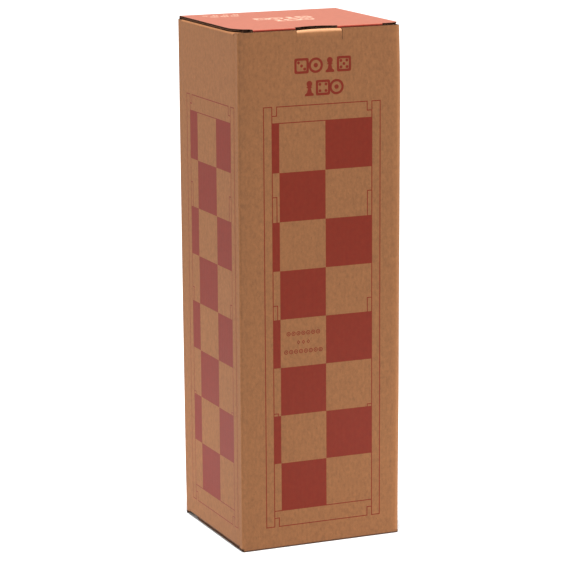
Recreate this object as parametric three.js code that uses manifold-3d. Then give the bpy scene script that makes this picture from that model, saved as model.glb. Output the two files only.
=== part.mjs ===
// Boxed ludo and draughts set: a tall tuck-end carton of fluted board around a wooden board folded into a tower.
// Millimetres, +Z up, front at -Y. The origin is the centre of the carton's footprint, on the ground.
import * as THREE from 'three';
import { mergeVertices } from 'three/addons/utils/BufferGeometryUtils.js';
import { RoundedBoxGeometry } from 'three/addons/geometries/RoundedBoxGeometry.js';
import Module from 'manifold-3d';

const wasm = await Module();
wasm.setup();

// Carton: one sheet of fluted board, creased into four walls with a tuck closure at each end
const cartonWidth = 120;
const cartonDepth = 108.5;
const cartonHeight = 364;
const sheet = 1.5; // thickness of the fluted board
const sheetGap = 0.3; // between two sheets that lie on each other, and at each crease
const wallCornerRadius = 2; // outer bend of the four upright creases
const innerCornerRadius = 0.7;
const creaseRadius = 1.1; // outer bend of the lid's and flaps' creases
const creaseSteps = 4;
const cornerSteps = 5;
const glueFlapWidth = 26;
const glueFlapTaper = 9; // how far the glue flap's end runs back over its width
const glueFlapInset = 6; // from the ends of the walls

// End closure, the same at the top and, turned over, at the bottom
const lidInset = 2.2; // from a side wall's outer face to the lid's raw edge
const lidFrontGap = 0.3; // between the lid's front crease and the wall in front of it
const wallDrop = 0.6; // how far the front wall's raw edge lies below the lid's face, at the top end only
const reliefWidth = 12; // rounded-off front corners of the lid, from the side wall's outer face
const reliefDepth = 9;
const reliefSteps = 7;
const tuckLength = 16;
const tuckCreaseGap = 0.45;
const tuckLean = THREE.MathUtils.degToRad(5);
const tuckTipRadius = 5;
const dustLength = 38;
const dustFrontSetback = 7.2; // from the front wall's outer face to the dust flap's edge
const dustBackSetback = 6.2;
const dustFrontTaper = 5; // how far the flap's front edge has run back at its tip
const dustBackTaper = 10;
const dustShoulder = 10; // straight stretch of each edge before its taper
const dustTipRadius = 4;

// Thumb slot behind the lid's front crease, and the tab that two slits free in the front wall below it
const slotWidth = 34.5;
const slotDepth = 7.6;
const slotRise = 2.1; // how far the crescent bows back in its middle
const slotStrip = 0.7; // lid left in front of the slot's two ends
const slotSteps = 8;
const tabWidth = 32.6;
const tabHeight = 7.8;
const slitWidth = 0.5;
const tabDrop = 1; // top of the tab below the wall's raw edge
const tabTopRadius = 1.3;

// Wooden board: four leaves on wooden knuckles, folded into a square tower
const headroom = 15; // above the tower, below the top dust flaps
const towerGap = 0.35; // between the tower and the tips of the tuck flaps, at the least
const towerSideGap = 3; // between the tower and the glue flap, at the least
const leafThickness = 7.2;
const leafEdgeGap = 0.4; // between a leaf's edge and the round of the next leaf's knuckles
const leafEdgeRound = 0.8;
const knuckleGap = 0.4; // between neighbouring knuckles along the pin
const knucklesPerCorner = 7;
const knuckleSteps = 6;
const pinRadius = 1.5;
const pinClearance = 0.2;
const pinSetback = 4; // from the tower's ends to the pin's ends
const pinSides = 14;
const leafCount = 4;
const capThickness = 5.4;
const capSetback = 6; // from the tower's end to the cap's groove
const capClearance = 0.3;
const capTongue = 2.7;
const capTongueMargin = 8; // from the inner corner to the end of the tongue

// Playing pieces, stacked on the bottom cap
const draughtShare = 0.38; // radius as a share of the tower's inner half width
const draughtHeight = 8;
const draughtEdge = 1.2;
const draughtGrooveShare = 0.66; // radius of the ring groove as a share of the disc's
const draughtGrooveWidth = 2;
const draughtGrooveDepth = 0.8;
const draughtSides = 16;
const draughtsPerStack = 6;
const pawnBaseShare = 0.39; // radius of a pawn's foot as a share of a draughtsman's
const pawnHeight = 25;
const pawnBaseHeight = 3;
const pawnNeckRadius = 2.5;
const pawnHeadRadius = 4.3;
const pawnGap = 0.6; // between the feet of neighbouring pawns
const pawnSides = 12;
const pawnHeadSteps = 5;
const dieSize = 14;
const dieRound = 1.6;
const dieSegments = 2;

// Cutting solids reach this far past the faces that they cut
const overrun = 2;

// Sizes worked out from those above
const halfWidth = cartonWidth / 2;
const halfDepth = cartonDepth / 2;
const innerHalfWidth = halfWidth - sheet;
const innerHalfDepth = halfDepth - sheet;
const lidHalfWidth = halfWidth - lidInset;
const lidFront = -innerHalfDepth + lidFrontGap;
const dustTop = -(sheet + sheetGap);
const dustUnderside = dustTop - sheet;
const wallTopUnderDust = dustUnderside - sheetGap;
const tuckHalfWidth = halfWidth - reliefWidth;
const tuckReach = sheet * Math.cos(tuckLean) + tuckLength * Math.sin(tuckLean);
const towerHalf = Math.min(
  innerHalfDepth - lidFrontGap - tuckReach - towerGap,
  innerHalfWidth - sheet - towerSideGap,
);
const towerBottom = -wallTopUnderDust;
const towerTop = cartonHeight + dustUnderside - headroom;
const towerHeight = towerTop - towerBottom;
const barrelRadius = leafThickness / 2;
const barrelCentre = towerHalf - barrelRadius;
const leafHalfWidth = barrelCentre - barrelRadius - leafEdgeGap;
const innerHalf = towerHalf - leafThickness;
const capHalf = innerHalf - capClearance;
const capBottom = capSetback + capClearance;
const draughtRadius = innerHalf * draughtShare;
const draughtGrooveRadius = draughtRadius * draughtGrooveShare;
const stackCentre = innerHalf / 2;
const pawnBaseRadius = draughtRadius * pawnBaseShare;
const pieceFloor = towerBottom + capBottom + capThickness;
const pawnFloor = pieceFloor + draughtsPerStack * draughtHeight;

// Materials
const finish = (color, roughness, metalness = 0) => new THREE.MeshStandardMaterial({ color, roughness, metalness });
const kraft = finish(0x9c6b46, 0.9);
const kraftInside = finish(0xa5785a, 0.92);
const lidPrint = finish(0xd9836f, 0.75);
const beech = finish(0xc79a67, 0.55);
const beechDark = finish(0x8a3a2c, 0.5);
const steel = finish(0xb9bcc0, 0.3, 1);
const bone = finish(0xeee6d4, 0.4);
const pawnColours = { red: 0xb5322a, blue: 0x2d5590, green: 0x3c7a45, yellow: 0xd9a72c };

// Turns a three.js geometry into a closed solid that can be joined and cut
function solidOf(geometry) {
  const bare = new THREE.BufferGeometry();
  bare.setAttribute('position', geometry.getAttribute('position').clone());
  if (geometry.index) {
    bare.setIndex(geometry.index.clone());
  }
  const merged = mergeVertices(bare);
  const corners = Array.from(merged.index.array);
  const triangles = [];
  for (let i = 0; i < corners.length; i += 3) {
    const [a, b, c] = corners.slice(i, i + 3);
    if (a !== b && b !== c && c !== a) {
      triangles.push(a, b, c);
    }
  }
  const vertProperties = new Float32Array(merged.getAttribute('position').array);
  const triVerts = new Uint32Array(triangles);
  return new wasm.Manifold(new wasm.Mesh({ numProp: 3, vertProperties, triVerts }));
}

// Gives a solid back as a three.js geometry
function geometryOf(solid) {
  const { vertProperties, triVerts } = solid.getMesh();
  const geometry = new THREE.BufferGeometry();
  geometry.setAttribute('position', new THREE.BufferAttribute(new Float32Array(vertProperties), 3));
  geometry.setIndex(Array.from(triVerts));
  geometry.computeVertexNormals();
  return geometry;
}

const joined = (solids) => solids.reduce((whole, solid) => whole.add(solid));
const cut = (solid, tools) => tools.reduce((rest, tool) => rest.subtract(tool), solid);

function mesh(name, solid, material) {
  const node = new THREE.Mesh(geometryOf(solid), material);
  node.name = name;
  return node;
}

// A box between two corners
function box([x0, y0, z0], [x1, y1, z1]) {
  const geometry = new THREE.BoxGeometry(x1 - x0, y1 - y0, z1 - z0);
  geometry.translate((x0 + x1) / 2, (y0 + y1) / 2, (z0 + z1) / 2);
  return geometry;
}

const extruded = (shape, depth, curveSegments) =>
  new THREE.ExtrudeGeometry(shape, { depth, curveSegments, bevelEnabled: false });

// An outline drawn in X and Y, made solid upwards from z
function flatPlate(shape, z, thickness, steps) {
  const geometry = extruded(shape, thickness, steps);
  geometry.translate(0, 0, z);
  return solidOf(geometry);
}

// An outline drawn in X and Z, made solid towards +Y from y
function uprightPlate(shape, y, thickness, steps) {
  const geometry = extruded(shape, thickness, steps);
  geometry.rotateX(Math.PI / 2);
  geometry.translate(0, y + thickness, 0);
  return solidOf(geometry);
}

// A section drawn in Y (across) and Z (up), drawn out along X between two places
function runAlongX(section, x0, x1, steps) {
  const geometry = extruded(section, x1 - x0, steps);
  geometry.rotateX(Math.PI / 2);
  geometry.rotateZ(Math.PI / 2);
  geometry.translate(x0, 0, 0);
  return solidOf(geometry);
}

// A rectangle with its four corners rounded alike
function roundedRectangle(target, halfX, halfY, radius) {
  target.moveTo(-halfX + radius, -halfY);
  target.lineTo(halfX - radius, -halfY);
  target.absarc(halfX - radius, -halfY + radius, radius, -Math.PI / 2, 0);
  target.lineTo(halfX, halfY - radius);
  target.absarc(halfX - radius, halfY - radius, radius, 0, Math.PI / 2);
  target.lineTo(-halfX + radius, halfY);
  target.absarc(-halfX + radius, halfY - radius, radius, Math.PI / 2, Math.PI);
  target.lineTo(-halfX, -halfY + radius);
  target.absarc(-halfX + radius, -halfY + radius, radius, Math.PI, 1.5 * Math.PI);
  return target;
}

// Section of a flap from its crease at one end to its raw edge: the crease's outer edge is rounded
function creasedSection(creaseAt, rawAt, top, roundRaw) {
  const towards = Math.sign(rawAt - creaseAt);
  const section = new THREE.Shape();
  section.moveTo(creaseAt, top - sheet);
  section.lineTo(rawAt, top - sheet);
  if (roundRaw) {
    section.lineTo(rawAt, top - creaseRadius);
    section.quadraticCurveTo(rawAt, top, rawAt - towards * creaseRadius, top);
  } else {
    section.lineTo(rawAt, top);
  }
  section.lineTo(creaseAt + towards * creaseRadius, top);
  section.quadraticCurveTo(creaseAt, top, creaseAt, top - creaseRadius);
  return section;
}

// Closure pieces are drawn with z = 0 at the lid's outer face and the lid's hinge crease at +Y

// Lid panel: rounded-off front corners, a bend at both creases, and the thumb slot where the end locks
function lidSolid(withSlot) {
  const outline = new THREE.Shape();
  outline.moveTo(-lidHalfWidth, halfDepth);
  outline.lineTo(-lidHalfWidth, lidFront + reliefDepth);
  outline.quadraticCurveTo(-lidHalfWidth, lidFront, -tuckHalfWidth, lidFront);
  outline.lineTo(tuckHalfWidth, lidFront);
  outline.quadraticCurveTo(lidHalfWidth, lidFront, lidHalfWidth, lidFront + reliefDepth);
  outline.lineTo(lidHalfWidth, halfDepth);
  const panel = flatPlate(outline, -sheet, sheet, reliefSteps);
  const section = creasedSection(halfDepth, lidFront, 0, true);
  const bent = runAlongX(section, -halfWidth, halfWidth, creaseSteps).intersect(panel);
  if (!withSlot) {
    return bent;
  }
  const slotFront = lidFront + slotStrip;
  const bow = new THREE.Shape();
  bow.moveTo(-slotWidth / 2, slotFront);
  bow.quadraticCurveTo(0, slotFront + 2 * slotRise, slotWidth / 2, slotFront);
  bow.lineTo(slotWidth / 2, slotFront + slotDepth);
  bow.quadraticCurveTo(0, slotFront + slotDepth + 2 * slotRise, -slotWidth / 2, slotFront + slotDepth);
  return bent.subtract(flatPlate(bow, -sheet - overrun, sheet + 2 * overrun, slotSteps));
}

// Tuck flap, drawn hanging straight down from the lid's front crease at the origin
function tuckSolid() {
  const outline = new THREE.Shape();
  outline.moveTo(-tuckHalfWidth, -sheet - tuckCreaseGap);
  outline.lineTo(-tuckHalfWidth, -tuckLength + tuckTipRadius);
  outline.quadraticCurveTo(-tuckHalfWidth, -tuckLength, -tuckHalfWidth + tuckTipRadius, -tuckLength);
  outline.lineTo(tuckHalfWidth - tuckTipRadius, -tuckLength);
  outline.quadraticCurveTo(tuckHalfWidth, -tuckLength, tuckHalfWidth, -tuckLength + tuckTipRadius);
  outline.lineTo(tuckHalfWidth, -sheet - tuckCreaseGap);
  return uprightPlate(outline, 0, sheet, cornerSteps);
}

// Dust flap on the side given by its sign: tapered back from the lid's two creases, with a rounded tip
function dustSolid(side) {
  const front = -halfDepth + dustFrontSetback;
  const back = halfDepth - dustBackSetback;
  const tip = halfWidth - dustLength;
  const outline = new THREE.Shape();
  outline.moveTo(side * halfWidth, front);
  outline.lineTo(side * (halfWidth - dustShoulder), front);
  outline.lineTo(side * (tip + dustTipRadius), front + dustFrontTaper);
  outline.quadraticCurveTo(side * tip, front + dustFrontTaper, side * tip, front + dustFrontTaper + dustTipRadius);
  outline.lineTo(side * tip, back - dustBackTaper - dustTipRadius);
  outline.quadraticCurveTo(side * tip, back - dustBackTaper, side * (tip + dustTipRadius), back - dustBackTaper);
  outline.lineTo(side * (halfWidth - dustShoulder), back);
  outline.lineTo(side * halfWidth, back);
  const panel = flatPlate(outline, dustUnderside, sheet, cornerSteps);
  const section = creasedSection(side * halfWidth, side * tip, dustTop, false);
  const geometry = extruded(section, back - front, creaseSteps);
  geometry.rotateX(Math.PI / 2);
  geometry.translate(0, back, 0);
  return solidOf(geometry).intersect(panel);
}

// What a closure cuts from the ends of the walls
function endCuts(withTab) {
  const beyond = halfWidth + overrun;
  const cuts = [box([-beyond, -innerHalfDepth, dustTop], [beyond, halfDepth + overrun, overrun])];
  const dustFrom = -halfDepth + dustFrontSetback - sheetGap;
  const dustTo = halfDepth - dustBackSetback + sheetGap;
  for (const side of [-1, 1]) {
    const from = Math.min(side * (innerHalfWidth - overrun), side * beyond);
    const to = Math.max(side * (innerHalfWidth - overrun), side * beyond);
    cuts.push(box([from, dustFrom, wallTopUnderDust], [to, dustTo, overrun]));
  }
  if (withTab) {
    cuts.push(box([-beyond, -halfDepth - overrun, -wallDrop], [beyond, halfDepth + overrun, overrun]));
    const window = tabWidth / 2 + slitWidth;
    const base = -wallDrop - tabDrop - tabHeight;
    cuts.push(box([-window, -halfDepth - overrun, base], [window, -innerHalfDepth + overrun, overrun]));
  }
  return cuts;
}

// Places in the carton's frame for the closure at the top and, turned over, at the bottom
const closurePlaces = {
  top: new THREE.Matrix4().makeTranslation(0, 0, cartonHeight),
  bottom: new THREE.Matrix4().makeRotationX(Math.PI),
};

// Sleeve: four walls bent from one sheet, with the glue flap inside the right wall
function sleeveSolid() {
  const outline = roundedRectangle(new THREE.Shape(), halfWidth, halfDepth, wallCornerRadius);
  outline.holes.push(roundedRectangle(new THREE.Path(), innerHalfWidth, innerHalfDepth, innerCornerRadius));
  const walls = flatPlate(outline, 0, cartonHeight, cornerSteps);
  const flap = new THREE.Shape();
  const flapEnd = innerHalfDepth - glueFlapWidth;
  const low = towerBottom + glueFlapInset;
  const high = cartonHeight - towerBottom - glueFlapInset;
  flap.moveTo(innerHalfDepth + sheet / 2, low);
  flap.lineTo(innerHalfDepth + sheet / 2, high);
  flap.lineTo(flapEnd, high - glueFlapTaper);
  flap.lineTo(flapEnd, low + glueFlapTaper);
  const glueFlap = runAlongX(flap, innerHalfWidth - sheet, innerHalfWidth + sheet / 2, 1);
  const tools = [];
  for (const [end, place] of Object.entries(closurePlaces)) {
    for (const geometry of endCuts(end === 'top')) {
      tools.push(solidOf(geometry.applyMatrix4(place)));
    }
  }
  return cut(walls.add(glueFlap), tools);
}

// Lock tab, drawn from its bend line at the origin, with its top front edge rounded over
function tabSolid() {
  const section = new THREE.Shape();
  section.moveTo(0, sheetGap);
  section.lineTo(sheet, sheetGap);
  section.lineTo(sheet, tabHeight);
  section.lineTo(tabTopRadius, tabHeight);
  section.quadraticCurveTo(0, tabHeight, 0, tabHeight - tabTopRadius);
  return runAlongX(section, -tabWidth / 2, tabWidth / 2, creaseSteps);
}

// One closure's moving pieces as a group, ready to be placed at either end
function closure(names, locks, faceMaterial) {
  const group = new THREE.Group();
  group.add(mesh(names.lid, lidSolid(locks), faceMaterial));
  const tuck = mesh(names.tuck, tuckSolid(), faceMaterial);
  tuck.position.set(0, lidFront, 0);
  tuck.rotation.x = tuckLean;
  group.add(tuck);
  group.add(mesh(names.left, dustSolid(-1), kraft));
  group.add(mesh(names.right, dustSolid(1), kraft));
  if (locks) {
    const tab = mesh(names.tab, tabSolid(), kraft);
    tab.position.set(0, -halfDepth, -wallDrop - tabDrop - tabHeight);
    group.add(tab);
  }
  return group;
}

// Knuckle on a leaf's edge: a round barrel with a neck to the leaf, bored for the pin unless it is a plain post
function knuckle(side, z0, z1, bored) {
  const turn = side > 0 ? 0 : Math.PI;
  const outline = new THREE.Shape();
  const neck = side * (leafHalfWidth - leafEdgeRound);
  outline.absarc(side * barrelCentre, 0, barrelRadius, turn - Math.PI / 2, turn + Math.PI / 2);
  outline.lineTo(neck, side * barrelRadius);
  outline.lineTo(neck, -side * barrelRadius);
  if (bored) {
    const bore = new THREE.Path();
    bore.absarc(side * barrelCentre, 0, pinRadius + pinClearance, 0, 2 * Math.PI);
    outline.holes.push(bore);
  }
  const solid = extruded(outline, z1 - z0, knuckleSteps);
  solid.translate(0, -towerHalf + barrelRadius, z0);
  return solidOf(solid);
}

// One leaf, drawn as the tower's front side: edges rounded, grooves for the two caps, and its knuckles
function leafSolid(index) {
  const section = new THREE.Shape();
  roundedRectangle(section, leafHalfWidth, barrelRadius, leafEdgeRound);
  const plate = extruded(section, towerHeight, creaseSteps);
  plate.translate(0, -towerHalf + barrelRadius, 0);
  const solids = [solidOf(plate)];
  const pitch = (towerHeight + knuckleGap) / knucklesPerCorner;
  const isFirst = index === 0;
  const isLast = index === leafCount - 1;
  for (let i = 0; i < knucklesPerCorner; i += 1) {
    const z0 = i * pitch;
    const z1 = z0 + pitch - knuckleGap;
    if (i % 2 === 0 && !isLast) {
      solids.push(knuckle(1, z0, z1, true));
    }
    if (i % 2 === 1 && !isFirst) {
      solids.push(knuckle(-1, z0, z1, true));
    }
  }
  if (isLast) {
    solids.push(knuckle(1, 0, towerHeight, false));
  }
  const grooveBottom = -innerHalf - capTongue - capClearance;
  const grooveHalf = innerHalf - capTongueMargin + capClearance;
  const grooveHeight = capThickness + 2 * capClearance;
  const grooves = [capSetback, towerHeight - capSetback - grooveHeight].map((z) =>
    solidOf(box([-grooveHalf, grooveBottom, z], [grooveHalf, -innerHalf + overrun, z + grooveHeight])));
  return cut(joined(solids), grooves);
}

// End cap of the tower: a square plate with a tongue on each side for the leaves' grooves
function capSolid() {
  const outline = new THREE.Shape();
  const reach = innerHalf + capTongue;
  const half = innerHalf - capTongueMargin;
  const corners = [[half, reach], [half, capHalf], [capHalf, capHalf], [capHalf, half], [reach, half]];
  outline.moveTo(-half, reach);
  for (let quarter = 0; quarter < leafCount; quarter += 1) {
    for (const [x, y] of corners) {
      const turned = new THREE.Vector2(x, y).rotateAround(new THREE.Vector2(), -quarter * Math.PI / 2);
      outline.lineTo(turned.x, turned.y);
    }
  }
  return flatPlate(outline, 0, capThickness, 1);
}

function turnedSolid(points, sides) {
  const profile = points.map(([radius, z]) => new THREE.Vector2(radius, z));
  const geometry = new THREE.LatheGeometry(profile, sides);
  geometry.rotateX(Math.PI / 2);
  return solidOf(geometry);
}

// Draughtsman: a turned disc with eased edges and a ring groove in its face
function draughtSolid() {
  const grooveOut = draughtGrooveRadius + draughtGrooveWidth / 2;
  const grooveIn = draughtGrooveRadius - draughtGrooveWidth / 2;
  return turnedSolid([
    [0, 0],
    [draughtRadius - draughtEdge, 0],
    [draughtRadius, draughtEdge],
    [draughtRadius, draughtHeight - draughtEdge],
    [draughtRadius - draughtEdge, draughtHeight],
    [grooveOut, draughtHeight],
    [draughtGrooveRadius, draughtHeight - draughtGrooveDepth],
    [grooveIn, draughtHeight],
    [0, draughtHeight],
  ], draughtSides);
}

// Ludo pawn: a foot, a hollow-sided cone and a ball head
function pawnSolid() {
  const headCentre = pawnHeight - pawnHeadRadius;
  const headStart = Math.asin(pawnNeckRadius / pawnHeadRadius);
  const points = [[0, 0], [pawnBaseRadius, 0], [pawnBaseRadius, pawnBaseHeight]];
  const neckZ = headCentre - pawnHeadRadius * Math.cos(headStart);
  points.push([(pawnBaseRadius + pawnNeckRadius) / 2, (pawnBaseHeight + neckZ) / 2]);
  for (let i = 0; i <= pawnHeadSteps; i += 1) {
    const angle = headStart + (Math.PI - headStart) * i / pawnHeadSteps;
    const radius = i === pawnHeadSteps ? 0 : pawnHeadRadius * Math.sin(angle);
    points.push([radius, headCentre - pawnHeadRadius * Math.cos(angle)]);
  }
  return turnedSolid(points, pawnSides);
}

// The folded board, standing in the carton on the bottom dust flaps
function tower() {
  const group = new THREE.Group();
  group.position.z = towerBottom;
  for (let i = 0; i < leafCount; i += 1) {
    const leaf = mesh(`board_leaf_${i + 1}`, leafSolid(i), beech);
    leaf.rotation.z = i * Math.PI / 2;
    group.add(leaf);
  }
  const pin = new THREE.CylinderGeometry(pinRadius, pinRadius, towerHeight - 2 * pinSetback, pinSides);
  pin.rotateX(Math.PI / 2);
  for (let i = 0; i < leafCount - 1; i += 1) {
    const hinge = mesh(`hinge_pin_${i + 1}`, solidOf(pin), steel);
    hinge.position.set(barrelCentre, -barrelCentre, towerHeight / 2);
    hinge.position.applyAxisAngle(new THREE.Vector3(0, 0, 1), i * Math.PI / 2);
    group.add(hinge);
  }
  const bottomCap = mesh('tower_bottom_cap', capSolid(), beech);
  bottomCap.position.z = capBottom;
  const topCap = mesh('tower_top_cap', capSolid(), beech);
  topCap.position.z = towerHeight - capBottom - capThickness;
  group.add(bottomCap, topCap);
  return group;
}

// The pieces in the tower: four stacks of draughtsmen, four pawns of one colour on each, and the die between them
function playingPieces() {
  const group = new THREE.Group();
  const draught = draughtSolid();
  const pawn = pawnSolid();
  const quarters = [[-1, -1], [1, -1], [1, 1], [-1, 1]];
  const counts = { light: 0, dark: 0 };
  Object.entries(pawnColours).forEach(([colour, value], stack) => {
    const [sx, sy] = quarters[stack];
    const shade = stack % 2 === 0 ? 'light' : 'dark';
    const centre = new THREE.Vector2(sx, sy).multiplyScalar(stackCentre);
    for (let i = 0; i < draughtsPerStack; i += 1) {
      counts[shade] += 1;
      const disc = mesh(`draught_${shade}_${counts[shade]}`, draught, shade === 'light' ? beech : beechDark);
      disc.position.set(centre.x, centre.y, pieceFloor + i * draughtHeight);
      group.add(disc);
    }
    quarters.forEach(([px, py], i) => {
      const piece = mesh(`pawn_${colour}_${i + 1}`, pawn, finish(value, 0.35));
      const reach = pawnBaseRadius + pawnGap / 2;
      piece.position.set(centre.x + px * reach, centre.y + py * reach, pawnFloor);
      group.add(piece);
    });
  });
  const dieGeometry = new RoundedBoxGeometry(dieSize, dieSize, dieSize, dieSegments, dieRound);
  const die = mesh('die', solidOf(dieGeometry), bone);
  die.position.z = pieceFloor + dieSize / 2;
  group.add(die);
  return group;
}

const model = new THREE.Group();
model.add(mesh('carton_sleeve', sleeveSolid(), kraftInside));

const topNames = {
  lid: 'lid_panel', tuck: 'lid_tuck_flap', left: 'top_dust_flap_left', right: 'top_dust_flap_right', tab: 'lock_tab',
};
const topClosure = closure(topNames, true, lidPrint);
topClosure.applyMatrix4(closurePlaces.top);
model.add(topClosure);

const bottomNames = {
  lid: 'bottom_panel', tuck: 'bottom_tuck_flap', left: 'bottom_dust_flap_left', right: 'bottom_dust_flap_right',
};
const bottomClosure = closure(bottomNames, false, kraft);
bottomClosure.applyMatrix4(closurePlaces.bottom);
model.add(bottomClosure);

model.add(tower());
model.add(playingPieces());

export default model;
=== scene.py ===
"""Looks of a boxed ludo and draughts set: fluted board with its print, and the wooden set inside.

Metres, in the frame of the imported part: +Z up, front at -Y, origin at the centre of the carton's footprint.
"""

import math

import bmesh
import bpy
import numpy as np
from mathutils import Matrix, Vector


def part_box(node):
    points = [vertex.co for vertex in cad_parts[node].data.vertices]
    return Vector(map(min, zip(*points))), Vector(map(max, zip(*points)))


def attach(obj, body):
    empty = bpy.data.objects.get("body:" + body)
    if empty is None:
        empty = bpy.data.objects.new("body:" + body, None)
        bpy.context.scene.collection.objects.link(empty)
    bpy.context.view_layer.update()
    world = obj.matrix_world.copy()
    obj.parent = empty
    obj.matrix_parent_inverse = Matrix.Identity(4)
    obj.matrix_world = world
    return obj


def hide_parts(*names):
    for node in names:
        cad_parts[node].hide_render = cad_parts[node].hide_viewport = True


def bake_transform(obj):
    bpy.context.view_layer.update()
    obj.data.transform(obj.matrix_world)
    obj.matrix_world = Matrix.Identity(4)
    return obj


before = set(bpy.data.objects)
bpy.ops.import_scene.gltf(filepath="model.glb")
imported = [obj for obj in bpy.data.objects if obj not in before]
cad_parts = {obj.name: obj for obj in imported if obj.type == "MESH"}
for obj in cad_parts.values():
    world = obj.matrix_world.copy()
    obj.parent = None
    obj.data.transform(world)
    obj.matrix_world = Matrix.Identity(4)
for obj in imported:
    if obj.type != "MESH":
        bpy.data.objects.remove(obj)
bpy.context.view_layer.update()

MM = 0.001
TINY = 0.01 * MM
TOUCH = 1e-6 * MM

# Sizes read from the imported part
sleeve_low, sleeve_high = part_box("carton_sleeve")
lid_low, lid_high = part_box("lid_panel")
_, tuck_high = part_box("lid_tuck_flap")
dust_low, dust_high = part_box("top_dust_flap_left")
tab_low, tab_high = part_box("lock_tab")
leaf_low, leaf_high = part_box("board_leaf_2")
HALF_WIDTH = sleeve_high.x
HALF_DEPTH = sleeve_high.y
HEIGHT = lid_high.z
SHEET = lid_high.z - lid_low.z
INNER_DEPTH = HALF_DEPTH - SHEET
LID_FRONT = lid_low.y
LID_LEFT = 1.4 * MM - HALF_WIDTH
LID_RIGHT = HALF_WIDTH - 0.5 * MM
TUCK_HALF = tuck_high.x
DUST_SINK = 0.5 * MM  # the shut dust flaps sag a little
DUST_TOP = dust_high.z - DUST_SINK - HEIGHT
DUST_FRONT = dust_low.y
DUST_BACK = dust_high.y
DUST_TIP = -dust_high.x
TAB_TOP = tab_high.z
TAB_FOOT = tab_low.z

# The board: two liners and the fluted medium between them
LINER = 0.28 * MM
MEDIUM = 0.18 * MM
FLUTE_PITCH = 3.2 * MM
FLUTE_STEPS = 8
EDGE_RECESS = 0.15 * MM  # the medium stands back from a raw edge
SIDE_RECESS = 1.1 * MM  # and more where its flutes run along the edge
SHEET_GAP = 0.3 * MM
INK_LIFT = 0.03 * MM
SMOOTH_ANGLE = math.radians(35)

# The board's material slots, their names, and what the printed slot holds at each end
RAW, INSIDE, OUTSIDE, INK, SHADED_INK = range(5)
BOARD = ("raw", "inside", "kraft")
END_INKS = {"top": "lid_ink_lit", "bottom": "kraft"}

# Longest steps of the grids, their rows, and the columns of a crease strip
PRINT_STEP = 8 * MM
PRINT_ROW_STEP = 14 * MM
PLAIN_STEP = 12 * MM
DUST_STEP = 10 * MM
WALL_ROWS = np.linspace(0, 1, 9)
PANEL_ROWS = np.linspace(0, 1, 4)
RIM = np.linspace(0, 1, 9) ** 2  # columns crowd towards the side of a rounded tip
STRIP_COLUMNS = 13

# Creases and cut-outs that the boxes do not tell
CORNER_RADIUS = 1.7 * MM
CREASE_RADIUS = 1.1 * MM
BEND_LENGTH = CREASE_RADIUS * math.pi / 2
CREASE_LAP = 0.2 * MM
CREASE_SHADE = 2.0 * MM  # painted shade: the lower part of the lid's front bend takes a darker ink
SEAM_GAP = 0.1 * MM
HINGE_GAP = 0.15 * MM
HINGE_CAP = 0.7 * MM
WINDOW_HALF = tab_high.x + 0.5 * MM
GLUE_FLAP = 26 * MM
GLUE_FLAP_TAPER = 9 * MM
GLUE_FLAP_INSET = 6 * MM
TUCK_LEAN = math.radians(5)
TUCK_LENGTH = 16 * MM
TUCK_TOP = SHEET + 0.45 * MM
TUCK_TIP_RADIUS = 5 * MM
INSET_SHARE = 0.35  # of the tuck crease's inset at its foot, left half way up to the bend
DUST_SHOULDER = 10 * MM
DUST_FRONT_TAPER = 5 * MM
DUST_BACK_TAPER = 10 * MM
DUST_TIP_RADIUS = 4 * MM
DUST_START = DUST_FRONT - SHEET_GAP
DUST_END = DUST_BACK + SHEET_GAP
UNDER_DUST = DUST_TOP - SHEET - SHEET_GAP

# The lid's front bend ends short of its corners; each corner steps back beside it and curves on, as
# (side, end of the bend, lid's side edge, step back, length of the curve, power of the curve)
STRIP_LEFT = -48 * MM
STRIP_RIGHT = 46.9 * MM
LID_CORNERS = (
    (-1, -STRIP_LEFT, -LID_LEFT, 4.4 * MM, 18 * MM, 2),
    (1, STRIP_RIGHT, LID_RIGHT, 0.6 * MM, 5 * MM, 7),
)
STEP_WIDTH = 0.9 * MM

# The crescent slot's depth along the lid's front edge, as (x, depth) in millimetres
SLOT_DEPTHS = (
    (-17.25, 2.3), (-14, 2.5), (-10, 4.1), (-6.5, 4.9), (-1, 5.2), (4.5, 4.4), (9, 2.5), (13.5, 0.6),
)
SLOT_LEFT = SLOT_DEPTHS[0][0] * MM
SLOT_RIGHT = SLOT_DEPTHS[-1][0] * MM

# The lock tab between its slits: its top rounds back, is arched, and stands a little below the wall's
TAB_LEFT = 0.1 * MM - WINDOW_HALF
TAB_RIGHT = WINDOW_HALF - 0.35 * MM
TAB_BEND = 1.9 * MM  # height and depth over which the top rounds back
TAB_BEND_DEPTH = 1.8 * MM
TAB_ARCH = 0.5 * MM
TAB_DROP = 0.45 * MM
TAB_SHOULDER = TAB_TOP - TAB_DROP - TAB_BEND
# Painted highlight on the tab's rounded top
TAB_HIGHLIGHT = 6.0
TAB_HIGHLIGHT_BELOW = 0.6 * MM  # the painted highlight starts this far below the bend

# How far two upright corners stand out sideways, as (height, reach) in millimetres
BACK_LEFT_LEAN = (
    (0, 0.4), (9, 0.6), (38, 0.93), (98, 1.2), (158, 1.42), (247, 1.6), (306, 1.66), (364, 1.76),
)
FRONT_RIGHT_LEAN = (
    (0, -0.1), (22, 0.05), (51, 0.2), (108, 0.66), (165, 0.78), (223, 1.02), (265, 1.13), (309, 1.22),
    (339, 0.95), (344, 0.8), (362.5, 0.25), (363.2, 1.2),
)
LEAN_FADE = ((312, 8), (318, 1))  # height: how fast the lean fades leftwards along the front wall

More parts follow.
